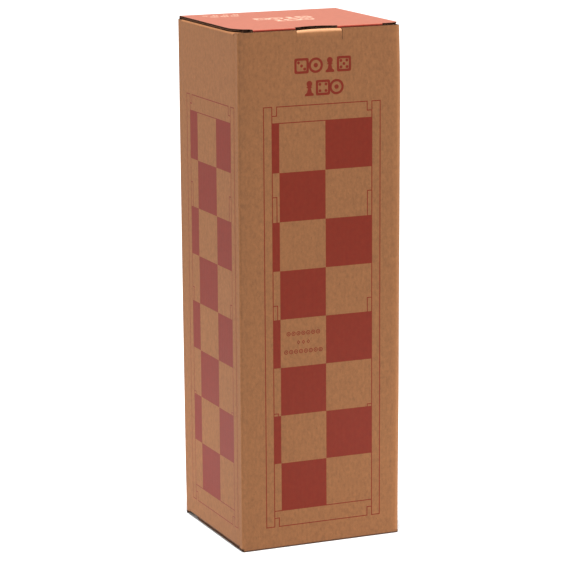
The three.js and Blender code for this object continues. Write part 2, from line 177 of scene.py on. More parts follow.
# Relief of the walls' outer faces: a hollow beside each upright crease, and a swell of broad bulges and
# slanting ripples, with their lengths along and up the wall
VALLEY_DEPTH = 0.22 * MM
VALLEY_START = 1.5 * MM
VALLEY_PLACE = 4.5 * MM
VALLEY_WIDTH = 3.2 * MM
SWELL = 0.1 * MM
SWELL_FADE = 20 * MM
BULGE = (31 * MM, 57 * MM)
BULGE_STARTS = (0.7, 1.9)
RIPPLE = (13 * MM, 41 * MM)
RIPPLE_SHARE = 0.6
BEND_REACH = 10 * MM  # finer columns on each side of an upright crease
BEND_COLUMNS = 41
CRUSH = 0.75  # share of the flutes' height that the scoring takes
CRUSH_WIDTH = 1.5 * MM

# Painted light at the front wall's creases: painted highlights pale the board along them, and painted shade
# darkens it beside the left crease, more so with height
LEFT_HIGHLIGHT = (1.8 * MM, 160 * MM)  # width and height
RIGHT_HIGHLIGHT = (3.2 * MM, 3.4)  # width and strength
PAINTED_SHADE_WIDTH = 4.5 * MM
PAINTED_SHADE_STRENGTH = 1.5
PAINTED_SHADE_FOOT = 60 * MM
PAINTED_SHADE_LEAST = 0.3

# Print, measured on the walls: a drawing of the folded board
SQUARE = 34.1 * MM
ROWS = 8
CHEQUER_TOP = HEIGHT - 64.2 * MM
BAR_HEIGHT = 11.3 * MM
RAIL_WIDTH = 6.1 * MM
LINE = 0.66 * MM
BAR_NOTCH = (3.5 * MM, 6.2 * MM)
STEP_NOTCH = 3.3 * MM
STEP_SHARES = {1: 0.51, 3: 0.29, 5: 0.05}  # row: share of its height that the step takes

# Each wall's columns in squares, from its left edge; the print's shift to the right; whether it starts red
WALL_PRINTS = {
    "left": ((0.393, 0.989, 0.759), 3.85 * MM, True),
    "front": ((0.156, 1.003, 1.018), 1.7 * MM, True),
    "right": ((1.0, 1.0, 0.17), -1.6 * MM, False),
    "back": ((0.75, 1.0, 0.42), -1.6 * MM, False),
}


def linked(name, data):
    """A new object in the scene."""
    obj = bpy.data.objects.new(name, data)
    bpy.context.scene.collection.objects.link(obj)
    return obj


# no painted light
def no_painted_light(u, v):
    return 0 * u


class Sheetwork:
    """The closed layers of one piece: corners, their places on the flat sheet, painted light, faces and
    paints.
    """

    def __init__(self):
        self.corners, self.flat, self.wear, self.faces, self.paints = ([] for _ in range(5))
        self.count = 0

    def add(self, flat, low, high, place, faces, paints, wear=no_painted_light):
        """Puts corners over the same flat places at two heights, the upper ones first. place turns
        (u, v, height through the sheet) into points."""
        u, v = flat[..., 0], flat[..., 1]
        for height in (high, low):
            self.corners.append(place(u, v, np.broadcast_to(height, u.shape)).reshape(-1, 3))
            self.flat.append(flat.reshape(-1, 2))
            self.wear.append(wear(u, v).ravel())
        self.faces.extend([[i + self.count for i in face] for face in faces])
        self.paints.extend(paints)
        self.count += 2 * u.size

    def layer(self, us, rows, low, high, place, paint=INSIDE, under=INSIDE, edge=INSIDE, wear=no_painted_light):
        """A closed solid between two heights on a grid; column i stands at us[i], corners at rows[i]."""
        n, m = len(us), rows.shape[-1]
        uu = np.repeat(us[:, None], m, 1)
        vv = np.broadcast_to(rows, (n, m))
        index = np.arange(n * m).reshape(n, m)
        quads = np.stack([index[:-1, :-1], index[1:, :-1], index[1:, 1:], index[:-1, 1:]], -1)
        quads = quads.reshape(-1, 4)
        ring = np.concatenate([index[:, 0], index[-1, 1:], index[-2::-1, -1], index[0, -2:0:-1]])
        following = np.roll(ring, -1)
        rim = np.stack([ring, following, following + n * m, ring + n * m], -1)
        middle_u = (uu[:-1, :-1] + uu[1:, 1:]) / 2
        middle_v = (vv[:-1, :-1] + vv[1:, :-1] + vv[1:, 1:] + vv[:-1, 1:]) / 4
        painted = paint(middle_u, middle_v) if callable(paint) else np.full(middle_u.shape, paint)
        faces = np.concatenate([quads, quads[:, ::-1] + n * m, rim]).tolist()
        paints = painted.ravel().tolist() + [under] * len(quads) + [edge] * len(rim)
        self.add(np.stack([uu, vv], -1), low, high, place, faces, paints, wear)

    def outer(self, us, rows, place, paint, wear=no_painted_light):
        self.layer(us, rows, SHEET - LINER, SHEET, place, paint, INSIDE, RAW, wear)

    def inner(self, us, rows, place):
        self.layer(us, rows, 0, LINER, place, edge=RAW)

    def medium(self, us, low, high, place, shares=(0, 1), squeeze=1):
        """The fluted medium between the liners, with its flutes along v."""
        room = squeeze * (SHEET / 2 - LINER - MEDIUM / 2)
        middle = (SHEET / 2 + room * np.sin(2 * math.pi * us / FLUTE_PITCH))[:, None]
        rows = between(us, low + EDGE_RECESS, high - EDGE_RECESS, shares)
        self.layer(us, rows, middle - MEDIUM / 2, middle + MEDIUM / 2, place, RAW, RAW, RAW)

    def plate(self, loop, place):
        """A printed shape with a loop of (u, v) corners."""
        n = len(loop)
        sides = [[i, (i + 1) % n, (i + 1) % n + n, i + n] for i in range(n)]
        faces = [list(range(n)), list(range(2 * n - 1, n - 1, -1))] + sides
        self.add(np.asarray(loop), SHEET - INK_LIFT, SHEET + INK_LIFT, place, faces, [0] * len(faces))

    def band(self, outer, inner, place):
        """The printed band between two loops with as many corners each."""
        n = len(outer)
        faces = []
        for i in range(n):
            j = (i + 1) % n
            faces += [[i, j, j + n, i + n], [i + 3 * n, j + 3 * n, j + 2 * n, i + 2 * n]]
            faces += [[i, i + 2 * n, j + 2 * n, j], [i + n, j + n, j + 3 * n, i + 3 * n]]
        flat = np.concatenate([outer, inner])
        self.add(flat, SHEET - INK_LIFT, SHEET + INK_LIFT, place, faces, [0] * len(faces))

    def piece(self, name, *materials):
        mesh = bpy.data.meshes.new(name)
        mesh.from_pydata(leaning(np.concatenate(self.corners)).tolist(), [], self.faces)
        for material in materials:
            mesh.materials.append(MAT[material])
        mesh.polygons.foreach_set("material_index", np.array(self.paints, np.int32))
        loops = np.zeros(len(mesh.loops), np.int32)
        mesh.loops.foreach_get("vertex_index", loops)
        uv = mesh.uv_layers.new(name="Sheet")
        uv.data.foreach_set("uv", np.concatenate(self.flat)[loops].astype(np.float32).ravel())
        # painted light per corner: above zero a painted highlight, below zero painted shade
        painted_light_layer = mesh.attributes.new("crease", "FLOAT", "POINT")
        painted_light_layer.data.foreach_set("value", np.concatenate(self.wear).astype(np.float32))
        finish_mesh(mesh)
        return linked(name, mesh)


def leaning(points):
    """The same points, moved sideways as the carton's upright corners lean, most at each corner itself."""
    x, y, z = points.T
    left = np.clip(0.5 - x / (2 * HALF_WIDTH), 0, 1)
    back = np.clip(0.5 + y / (2 * HALF_DEPTH), 0, 1)
    leans = (BACK_LEFT_LEAN, FRONT_RIGHT_LEAN, LEAN_FADE)
    left_reach, right_reach, fade = (np.interp(z / MM, *np.array(lean).T) for lean in leans)
    right_share = (1 - left) ** fade * (1 - back)
    return np.stack([x - MM * left_reach * left * back + MM * right_reach * right_share, y, z], -1)


def finish_mesh(mesh):
    """Turns the faces of each closed shell outwards and shades it smooth except across its edges."""
    bm = bmesh.new()
    bm.from_mesh(mesh)
    bmesh.ops.recalc_face_normals(bm, faces=bm.faces)
    for face in bm.faces:
        face.smooth = True
    for edge in bm.edges:
        edge.smooth = len(edge.link_faces) == 2 and edge.calc_face_angle(0) < SMOOTH_ANGLE
    bm.to_mesh(mesh)
    bm.free()
    mesh.update()


def uneven(lengths, longest):
    """Sorted places with none left further apart than longest, and doubled places merged."""
    places = sorted(lengths)
    filled = [places[0]]
    for place in places[1:]:
        gap = place - filled[-1]
        if gap > TINY / 2:
            steps = math.ceil(gap / longest)
            filled.extend(np.linspace(filled[-1], place, steps + 1)[1:])
    return np.array(filled)


def between(us, low, high, shares):
    """Rows at given shares of the way between two edges, one row of places for each column."""
    low, high = (np.broadcast_to(edge, us.shape)[:, None] for edge in (low, high))
    return low + (high - low) * np.asarray(shares)


def flute_columns(start, end):
    return np.linspace(start, end, round((end - start) / FLUTE_PITCH * FLUTE_STEPS) + 1)


class Path:
    """Outline of the walls in plan, walked clockwise from the right wall's raw edge at the back."""

    def __init__(self, x, y):
        self.end = (x, y, 0.0)  # place, and angle of the outward direction
        self.length = 0.0
        self.stretches = []
        self.creases = []
        self.marks = {}

    def walk(self, length, radius):
        """Goes on by a length, straight where the radius is zero and otherwise clockwise round an arc."""
        self.stretches.append((self.length, length, radius, *self.end))
        self.length += length
        x, y, nx, ny = (values[0] for values in self.at(np.array([self.length])))
        self.end = (x, y, math.atan2(ny, nx))

    def wall(self, name, length, middle):
        self.marks[name] = self.length + middle
        self.walk(length, 0)

    def corner(self):
        turn = CORNER_RADIUS * math.pi / 2
        self.creases.append(self.length + turn / 2)
        self.walk(turn, CORNER_RADIUS)

    def at(self, u):
        """Place and outward direction at each distance along the outer face."""
        x, y, nx, ny = (np.zeros_like(u) for _ in range(4))
        for start, length, radius, from_x, from_y, out in self.stretches:
            inside = (u >= start - TOUCH) & (u <= start + length + TOUCH)
            along = u[inside] - start
            turned = out - (along / radius if radius else 0 * along)
            ahead = 0 if radius else along
            nx[inside] = np.cos(turned)
            ny[inside] = np.sin(turned)
            x[inside] = from_x + radius * (nx[inside] - math.cos(out)) + ahead * math.sin(out)
            y[inside] = from_y + radius * (ny[inside] - math.sin(out)) - ahead * math.cos(out)
        return x, y, nx, ny


HALF_FRONT = HALF_WIDTH - CORNER_RADIUS
HALF_SIDE = HALF_DEPTH - CORNER_RADIUS
PATH = Path(HALF_WIDTH, HALF_DEPTH)
PATH.wall("right", HALF_DEPTH + HALF_SIDE, HALF_DEPTH)
PATH.corner()
PATH.wall("front", 2 * HALF_FRONT, HALF_FRONT)
PATH.corner()
PATH.wall("left", 2 * HALF_SIDE, HALF_SIDE)
PATH.corner()
PATH.wall("back", 2 * HALF_FRONT - SHEET - SEAM_GAP, HALF_FRONT)
PATH.corner()
PATH.wall("flap", GLUE_FLAP - CORNER_RADIUS, 0)


def wall_offset(u, v):
    """How far the outer face lies inside the carton's true faces."""
    hollow = np.zeros_like(u)
    for crease in PATH.creases:
        away = np.abs(u - crease)
        depth = VALLEY_DEPTH * np.exp(-(((away - VALLEY_PLACE) / VALLEY_WIDTH) ** 2))
        hollow += depth * (away > VALLEY_START)
    bulges = np.sin(u / BULGE[0] + BULGE_STARTS[0]) * np.sin(v / BULGE[1] + BULGE_STARTS[1])
    wave = bulges + RIPPLE_SHARE * np.sin(u / RIPPLE[0] + v / RIPPLE[1])
    most = 1 + RIPPLE_SHARE
    fade = np.clip(np.minimum(v, HEIGHT - v) / SWELL_FADE, 0, 1)
    return hollow + SWELL * (most + wave) / (2 * most) * fade


def wall_place(u, v, height):
    x, y, nx, ny = PATH.at(u)
    inwards = SHEET - height + wall_offset(u, v)
    return np.stack([x - nx * inwards, y - ny * inwards, v], -1)


def wall_wear(u, v):
    """Painted light beside the front wall's two creases: above zero for a painted highlight, below for
    painted shade.
    """
    right, left = PATH.creases[:2]
    # painted shade on the front wall beside its left crease
    painted_shade = np.where(u < left, np.exp((u - left) / PAINTED_SHADE_WIDTH), 0)
    # painted highlights along the left crease, fading out with height, and along the right crease
    painted_highlight = np.exp(-(((u - left) / LEFT_HIGHLIGHT[0]) ** 2)) * np.clip(1 - v / LEFT_HIGHLIGHT[1], 0, 1)
    painted_highlight += RIGHT_HIGHLIGHT[1] * np.exp(-(((u - right) / RIGHT_HIGHLIGHT[0]) ** 2))
    return painted_highlight - PAINTED_SHADE_STRENGTH * painted_shade * np.clip((v + PAINTED_SHADE_FOOT) / HEIGHT, PAINTED_SHADE_LEAST, 1)


def wall_ends(us):
    """Lowest and highest point of the wall at each column."""
    x, y, _, _ = PATH.at(us)
    low = np.full(us.shape, -DUST_TOP)
    high = np.full(us.shape, HEIGHT + DUST_TOP)
    on_flap = us > PATH.marks["flap"]
    on_side = (np.abs(x) > HALF_WIDTH - CORNER_RADIUS / 2) & ~on_flap
    high[(y < -INNER_DEPTH) | ((x > 0) & on_side & (y < DUST_START))] = TAB_TOP
    low[(y > INNER_DEPTH) & ~on_flap] = sleeve_low.z
    high[on_side & (y > DUST_START) & (y < DUST_END)] = HEIGHT + UNDER_DUST
    low[on_side & (y > -DUST_END) & (y < -DUST_START)] = -UNDER_DUST
    high[(np.abs(x) < WINDOW_HALF) & (y < -INNER_DEPTH)] = TAB_FOOT - SHEET_GAP
    taper = GLUE_FLAP_TAPER * np.clip((us - PATH.marks["flap"]) / (GLUE_FLAP - CORNER_RADIUS), 0, 1)
    flap_low = GLUE_FLAP_INSET - UNDER_DUST + taper
    low[on_flap] = flap_low[on_flap]
    high[on_flap] = HEIGHT - flap_low[on_flap]
    return low, high


# Print of one wall as rectangles (left, right, low, high), seen from outside, from its middle and the floor
def frame_lines(*points):
    """A line from point to point."""
    half = LINE / 2
    return [
        (min(x0, x1) - half, max(x0, x1) + half, min(z0, z1) - half, max(z0, z1) + half)
        for (x0, z0), (x1, z1) in zip(points, points[1:])
    ]


def column_edges(columns, width):
    """Edges of the columns, from the middle of a print that is width wide."""
    places = np.concatenate([[0], np.cumsum(columns)]) / sum(columns)
    return (places - 0.5) * width


def row_edges(top, square):
    return [top - i * square for i in range(ROWS + 1)]


def chequer(edges, tops, starts_red):
    """The red squares."""
    return [
        (edges[column], edges[column + 1], tops[row + 1], tops[row])
        for row in range(ROWS)
        for column in range(len(edges) - 1)
        if (row + column + starts_red) % 2
    ]


def wall_print(columns, shift, starts_red):
    edges = shift + column_edges(columns, sum(columns) * SQUARE)
    tops = row_edges(CHEQUER_TOP, SQUARE)
    left, right = edges[0], edges[-1]
    low, high = tops[-1] - BAR_HEIGHT, tops[0] + BAR_HEIGHT
    inks = chequer(edges, tops, starts_red)
    notch_x, notch_z = BAR_NOTCH
    near, far = left + notch_x, right - notch_x
    for inner, outer, shoulder in ((tops[0], high, high - notch_z), (tops[-1], low, low + notch_z)):
        inks += frame_lines((left, inner), (right, inner))
        inks += frame_lines((left, shoulder), (near, shoulder), (near, outer))
        inks += frame_lines((near, outer), (far, outer), (far, shoulder), (right, shoulder))
    for side, sign in ((left, 1), (right, -1)):
        inner = side + sign * STEP_NOTCH
        outer = side - sign * RAIL_WIDTH
        for row, share in STEP_SHARES.items():
            foot = tops[row + 1]
            step = foot + share * SQUARE
            inks += frame_lines((side, step), (inner, step), (inner, foot))
        inks += frame_lines((side, low), (side, high), (outer, high), (outer, low), (side, low))
    return inks


# Every printed rectangle in places along the path: (start, end, low, high)
INKS = [
    (PATH.marks[wall] - x1, PATH.marks[wall] - x0, z0, z1)
    for wall, layout in WALL_PRINTS.items()
    for x0, x1, z0, z1 in wall_print(*layout)
]


def sleeve_paint(u, v):
    painted = np.full(u.shape, OUTSIDE)
    for u0, u1, z0, z1 in INKS:
        painted[(u > u0) & (u < u1) & (v > z0) & (v < z1)] = INK
    return painted


def wall_breaks():
    """Places along the path where the walls' ends step up or down, each twice, a hair apart."""
    front, right, left = (PATH.marks[wall] for wall in ("front", "right", "left"))
    steps = [front - WINDOW_HALF, front + WINDOW_HALF, PATH.marks["flap"]]
    for y in (DUST_START, DUST_END, -DUST_START, -DUST_END, INNER_DEPTH, -INNER_DEPTH):
        steps += [right - y, left + y]
    return [place + side * TINY for place in steps for side in (-1, 1)]


def sleeve():
    """The four walls and the glue flap, with a strip that closes the sheet under each hinge crease."""
    work = Sheetwork()
    places = [0, PATH.length, *wall_breaks()]
    for crease in PATH.creases:
        places.extend(np.linspace(crease - BEND_REACH, crease + BEND_REACH, BEND_COLUMNS))
    printed = uneven(places + [edge for ink in INKS for edge in ink[:2]], PRINT_STEP)
    levels = [SWELL_FADE, HEIGHT - SWELL_FADE] + [edge for ink in INKS for edge in ink[2:]]
    rows = uneven(levels, PRINT_ROW_STEP)
    low, high = wall_ends(printed)
    grid = np.concatenate([low[:, None], np.repeat(rows[None, :], len(printed), 0), high[:, None]], 1)
    # the front wall carries painted highlights and painted shade beside its creases
    work.outer(printed, grid, wall_place, sleeve_paint, wall_wear)
    plain = uneven(places, PLAIN_STEP)
    work.inner(plain, between(plain, *wall_ends(plain), WALL_ROWS), wall_place)
    fluted = np.sort([*flute_columns(EDGE_RECESS, PATH.length - EDGE_RECESS), *wall_breaks()])
    to_crease = np.abs(fluted[:, None] - PATH.creases).min(-1)
    squeeze = 1 - CRUSH * np.exp(-((to_crease / CRUSH_WIDTH) ** 2))
    work.medium(fluted, *wall_ends(fluted), wall_place, WALL_ROWS, squeeze)
    reach = HALF_WIDTH - CORNER_RADIUS - SHEET
    for wall, low in (("back", HEIGHT - SHEET - HINGE_GAP - HINGE_CAP), ("front", SHEET + HINGE_GAP)):
        along = PATH.marks[wall] + np.linspace(-reach, reach, STRIP_COLUMNS)
        work.layer(along, between(along, low, low + HINGE_CAP, (0, 1)), 0, SHEET - LINER, wall_place)
    return work.piece("carton_sleeve_board", *BOARD, "ink")


# Closures are built with z = 0 at the lid's outer face and the hinge crease at +Y, then set at their end
END_PLACES = {"top": Matrix.Translation((0, 0, HEIGHT)), "bottom": Matrix.Rotation(math.pi, 4, "X")}


def at_end(end, build):
    """The same place function, carried to the top or bottom end."""
    matrix = np.array(END_PLACES[end])
    return lambda u, v, height: build(u, v, height) @ matrix[:3, :3].T + matrix[:3, 3]


def lid_front_edge(x):
    """The lid's front edge at each x: straight, stepped back and curved round at each corner."""
    edge = np.full(x.shape, LID_FRONT)
    for side, start, reach, step, curve, power in LID_CORNERS:
        out = side * x - start
        share = np.clip(out / (reach - start), 0, 1)
        edge += step * np.clip(out / STEP_WIDTH, 0, 1) + curve * (1 - np.sqrt(1 - share ** power))
    return edge


def slot_back(x):
    """Back border of the crescent slot, open at the lid's front crease and fading out to the right."""
    return LID_FRONT + np.interp(x / MM, *np.array(SLOT_DEPTHS).T) * MM


def crease_length(y):
    """Distance along the bent outer face of the lid, from the foot of the front bend."""
    flat = y - LID_FRONT
    on_bend = CREASE_RADIUS * np.arccos(np.clip(1 - flat / CREASE_RADIUS, -1, 1))
    return np.where(flat < CREASE_RADIUS, on_bend, BEND_LENGTH + flat - CREASE_RADIUS)


def lid_place(u, v, height):
    """v runs along the outer face from the foot of the front bend."""
    angle = np.clip(v / CREASE_RADIUS, 0, math.pi / 2)
    radius = CREASE_RADIUS - SHEET + height
    y = LID_FRONT + CREASE_RADIUS - radius * np.cos(angle) + np.maximum(v - BEND_LENGTH, 0)
    return np.stack([u, y, radius * np.sin(angle) - CREASE_RADIUS], -1)


def flat_place(u, v, height):
    return np.stack([u, v, height - SHEET], -1)


def lid_columns(slotted):
    """Columns across the panel, closer together round its corners and along the slot."""
    turn = np.sin(np.linspace(0, math.pi / 2, 15))
    places = list(np.linspace(STRIP_LEFT, STRIP_RIGHT, 17))
    for side, start, reach, *_ in LID_CORNERS:
        places += [*(side * (start + (reach - start) * turn)), side * (start + STEP_WIDTH)]
    if slotted:
        places += [*np.linspace(SLOT_LEFT, SLOT_RIGHT, 25)]
    return uneven(places, PLAIN_STEP)


def lid(end, name):
    """The lid with its slot, or the bottom panel, with the front bend left to the crease strip."""
    work = Sheetwork()
    outer, inner = at_end(end, lid_place), at_end(end, flat_place)
    slotted = end == "top"
    columns = lid_columns(slotted)
    back = HALF_DEPTH - LINER
    strip_edge = LID_FRONT + CREASE_RADIUS + CREASE_LAP
    hinge_edge = crease_length(HALF_DEPTH - CREASE_RADIUS - CREASE_LAP)

    def part(left, right, front_edge, left_recess, right_recess):
        """Liners and medium from side to side, behind the front edge."""
        us = columns[(columns > left - TINY) & (columns < right + TINY)]
        front = front_edge(us)
        beyond = (us < STRIP_LEFT - TINY) | (us > STRIP_RIGHT + TINY)
        outer_front = crease_length(np.where(beyond, front, np.maximum(front, strip_edge)))
        work.outer(us, between(us, outer_front, hinge_edge, PANEL_ROWS), outer, INK)
        work.inner(us, between(us, np.maximum(front, LID_FRONT + LINER), back, PANEL_ROWS), inner)
        fluted = flute_columns(left + left_recess, right - right_recess)
        front = np.maximum(front_edge(fluted), LID_FRONT + 2 * LINER)
        work.medium(fluted, front, back, inner, (0, 0.5, 1))

    if slotted:
        part(LID_LEFT, SLOT_LEFT, lid_front_edge, SIDE_RECESS, EDGE_RECESS)
        part(SLOT_RIGHT, LID_RIGHT, lid_front_edge, EDGE_RECESS, SIDE_RECESS)
        part(SLOT_LEFT, SLOT_RIGHT, slot_back, 0, 0)
    else:
        part(LID_LEFT, LID_RIGHT, lid_front_edge, SIDE_RECESS, SIDE_RECESS)
    work.layer(columns, between(columns, back, back + LINER / 2, (0, 1)), 0, SHEET / 2, inner)
    return work.piece(name, *BOARD, END_INKS[end])


def tuck_place(u, v, height):
    """v runs down from the lid's front crease, and the flap leans back."""
    back = SHEET - height
    y = LID_FRONT + back * math.cos(TUCK_LEAN) + v * math.sin(TUCK_LEAN)
    return np.stack([u, y, back * math.sin(TUCK_LEAN) - v * math.cos(TUCK_LEAN)], -1)


def tip_rounding(distance, radius):
    """How far a tip with a rounded corner stands back, at a distance inwards from its side edge."""
    return radius * (1 - np.sqrt(np.clip(distance / radius, 0, 1))) ** 2


def tuck(end, name):
    work = Sheetwork()
    place = at_end(end, tuck_place)

    def length(us):
        return TUCK_LENGTH - tip_rounding(TUCK_HALF - np.abs(us), TUCK_TIP_RADIUS)

    side = TUCK_HALF - TUCK_TIP_RADIUS * RIM
    columns = uneven([*side, *-side], PLAIN_STEP)
    rows = between(columns, TUCK_TOP + CREASE_LAP, length(columns), (0, 0.3, 1))
    work.outer(columns, rows, place, INK)
    work.inner(columns, rows, place)
    fluted = flute_columns(EDGE_RECESS - TUCK_HALF, TUCK_HALF - EDGE_RECESS)
    work.medium(fluted, TUCK_TOP, length(fluted), place)
    return work.piece(name, *BOARD, END_INKS[end])


def dust_reach(y):
    """How far a dust flap reaches from its crease at each y: tapered front and back, with a rounded tip."""
    straight = HALF_WIDTH - DUST_TIP - DUST_SHOULDER - DUST_TIP_RADIUS
    front = y - DUST_FRONT
    back = DUST_BACK - y
    taper = np.clip(np.minimum(front / DUST_FRONT_TAPER, back / DUST_BACK_TAPER), 0, 1)
    into = np.minimum(front - DUST_FRONT_TAPER, back - DUST_BACK_TAPER)
    tip = DUST_TIP_RADIUS - tip_rounding(into, DUST_TIP_RADIUS)
    return DUST_SHOULDER + straight * taper + tip


def dust(end, side, name):
    work = Sheetwork()

    def build(u, v, height):
        return np.stack([side * (HALF_WIDTH - v), u, DUST_TOP - SHEET + height], -1)

    place = at_end(end, build)
    front = DUST_FRONT + DUST_FRONT_TAPER + DUST_TIP_RADIUS * RIM
    back = DUST_BACK - DUST_BACK_TAPER - DUST_TIP_RADIUS * RIM
    columns = uneven([DUST_FRONT, DUST_BACK, *front, *back], DUST_STEP)
    reach = dust_reach(columns)
    shares = (0, 0.4, 1)
    work.outer(columns, between(columns, CREASE_RADIUS + CREASE_LAP, reach, shares), place, OUTSIDE)
    work.inner(columns, between(columns, LINER, reach, shares), place)
    fluted = flute_columns(DUST_FRONT + EDGE_RECESS, DUST_BACK - EDGE_RECESS)
    work.medium(fluted, 2 * LINER, dust_reach(fluted), place)
    return work.piece(name, *BOARD)


# Crease strips: the outer liner where it runs round a bend, along a section of (distance inwards, z)
def section_place(points, build):
    """Turns a run of section points into a place function of (u, distance along the section, height)."""
    points = np.array(points)
    steps = np.linalg.norm(np.diff(points, axis=0), axis=1)
    lengths = np.concatenate([[0], np.cumsum(steps)])
    heading = np.gradient(points, lengths, axis=0)
    heading /= np.linalg.norm(heading, axis=1)[:, None]
    normals = np.stack([-heading[:, 1], heading[:, 0]], 1)

    def place(u, v, height):
        inward, z = (
            np.interp(v, lengths, points[:, k]) + np.interp(v, lengths, normals[:, k]) * (height - SHEET)
            for k in (0, 1)
        )
        return build(u, inward, z)

    return lengths, place


def quarter(low, depth, rise):
    """Points on a quarter of an ellipse, from upright at (0, low) round to level."""
    angles = math.pi - np.linspace(0, math.pi / 2, 9)
    return [(depth + depth * math.cos(a), low + rise * math.sin(a)) for a in angles]


def bend_section(foot, top, inset=0.0):
    """Up from the foot, which may stand inwards, round the bend and a little way in."""
    low = top - CREASE_RADIUS
    upright = [(inset, foot), (INSET_SHARE * inset, (foot + low) / 2)]
    return upright + quarter(low, CREASE_RADIUS, CREASE_RADIUS) + [(CREASE_RADIUS + CREASE_LAP, top)]


def inwards_from(face, sign):
    """Places at a distance inwards from the front or back face, where sign points into the carton."""
    return lambda u, inward, z: np.stack([u, face + sign * inward, z], -1)


def strip(name, end, runs, points, build, paint, *inks):
    """Strips of outer liner on a section, one for each run of columns."""
    work = Sheetwork()
    lengths, place = section_place(points, build)
    for columns in runs:
        work.outer(columns, lengths, at_end(end, place), paint)
    return work.piece(name, *BOARD, *inks)


def painted_bend_shade(end, straight):
    """At the bottom the creases take the dark raw-edge colour where they bend, past their straight length, as
    painted shade by the floor.
    """
    return (lambda u, v: np.where(v > straight, RAW, OUTSIDE)) if end == "bottom" else OUTSIDE


def hinge_strips(end, panel):
    """The outer liner round the hinge crease, in two halves that part when the panel turns back."""
    build = inwards_from(HALF_DEPTH, -1)
    section = bend_section(DUST_TOP, 0)
    middle = len(section) // 2
    runs = [np.linspace(LID_LEFT, LID_RIGHT, STRIP_COLUMNS)]
    # painted shade on the bend of the bottom hinge crease
    paint = painted_bend_shade(end, -DUST_TOP - CREASE_RADIUS)
    name = panel + "_hinge_{}_side"
    wall_half = strip(name.format("wall"), end, runs, section[: middle + 1], build, paint, END_INKS[end])
    return wall_half, strip(name.format("panel"), end, runs, section[middle:], build, INK, END_INKS[end])


def tuck_strip(end, name):
    """Over the lid's front crease, from the tuck flap up and round to the panel, on each side of the slot."""

    # painted shade on the lower part of the bend
    def paint(u, v):
        return np.where(v < CREASE_SHADE, SHADED_INK, INK)

    inset = (TUCK_TOP + CREASE_LAP) * math.sin(TUCK_LEAN)
    foot = -(TUCK_TOP + CREASE_LAP) * math.cos(TUCK_LEAN)
    if end == "top":
        runs = [np.linspace(STRIP_LEFT, SLOT_LEFT, 7), np.linspace(SLOT_RIGHT, STRIP_RIGHT, 7)]
        inks = ("lid_ink_lit", "crease_ink_shaded")
    else:
        runs = [np.linspace(STRIP_LEFT, STRIP_RIGHT, STRIP_COLUMNS)]
        inks = ("kraft", "kraft")
    section = bend_section(foot, 0, inset)
    piece = strip(name, end, runs, section, inwards_from(LID_FRONT, 1), paint, *inks)
    return piece, (0, LID_FRONT + CREASE_RADIUS, 0), (0, LID_FRONT + inset, foot)


def dust_strip(end, side, name):
    def build(u, inward, z):
        return np.stack([side * (HALF_WIDTH - inward), u, z], -1)

    runs = [np.linspace(DUST_FRONT, DUST_BACK, STRIP_COLUMNS)]
    # painted shade on the bend of the bottom dust creases
    paint = painted_bend_shade(end, DUST_TOP - CREASE_RADIUS - UNDER_DUST)
    piece = strip(name, end, runs, bend_section(UNDER_DUST, DUST_TOP), build, paint)
    return piece, (side * HALF_WIDTH, 0, UNDER_DUST), (side * (HALF_WIDTH - CREASE_RADIUS), 0, DUST_TOP)


def upright(u, v, height):
    return np.stack([u, SHEET - HALF_DEPTH - height, v], -1)


def lock_tab():
    """The tab with its top rounded back and arched, in liners and medium, from the bend line up."""
    work = Sheetwork()

    def build(u, inward, z):
        arch = 1 - (2 * u / (TAB_RIGHT - TAB_LEFT)) ** 2
        rise = np.clip((z - TAB_SHOULDER) / TAB_BEND, 0, 1)
        return np.stack([u, inward - HALF_DEPTH, z + TAB_ARCH * arch * rise], -1)

    # painted highlight, rising over the tab's rounded top
    def painted_highlight(u, v):
        return TAB_HIGHLIGHT * np.clip((v - TAB_SHOULDER + TAB_FOOT + TAB_HIGHLIGHT_BELOW) / TAB_BEND, 0, 1)

    section = [(0, TAB_FOOT), (0, (TAB_FOOT + TAB_SHOULDER) / 2)]
    lengths, place = section_place(section + quarter(TAB_SHOULDER, TAB_BEND_DEPTH, TAB_BEND), build)
    columns = np.linspace(TAB_LEFT, TAB_RIGHT, 17)
    work.outer(columns, lengths, place, OUTSIDE, painted_highlight)
    work.inner(columns, between(columns, TAB_FOOT, TAB_SHOULDER + TAB_BEND / 2, (0, 1)), upright)
    fluted = flute_columns(TAB_LEFT + EDGE_RECESS, TAB_RIGHT - EDGE_RECESS)
    work.medium(fluted, TAB_FOOT, TAB_SHOULDER, upright)
    return work.piece("lock_tab_board", *BOARD)


def tab_strip():
    """The outer liner over the tab's bend line."""
    work = Sheetwork()
    columns = np.linspace(TAB_LEFT, TAB_RIGHT, 9)
    work.outer(columns, between(columns, TAB_FOOT - SHEET_GAP, TAB_FOOT, (0, 0.5, 1)), upright, OUTSIDE)
    return work.piece("lock_tab_crease", *BOARD)


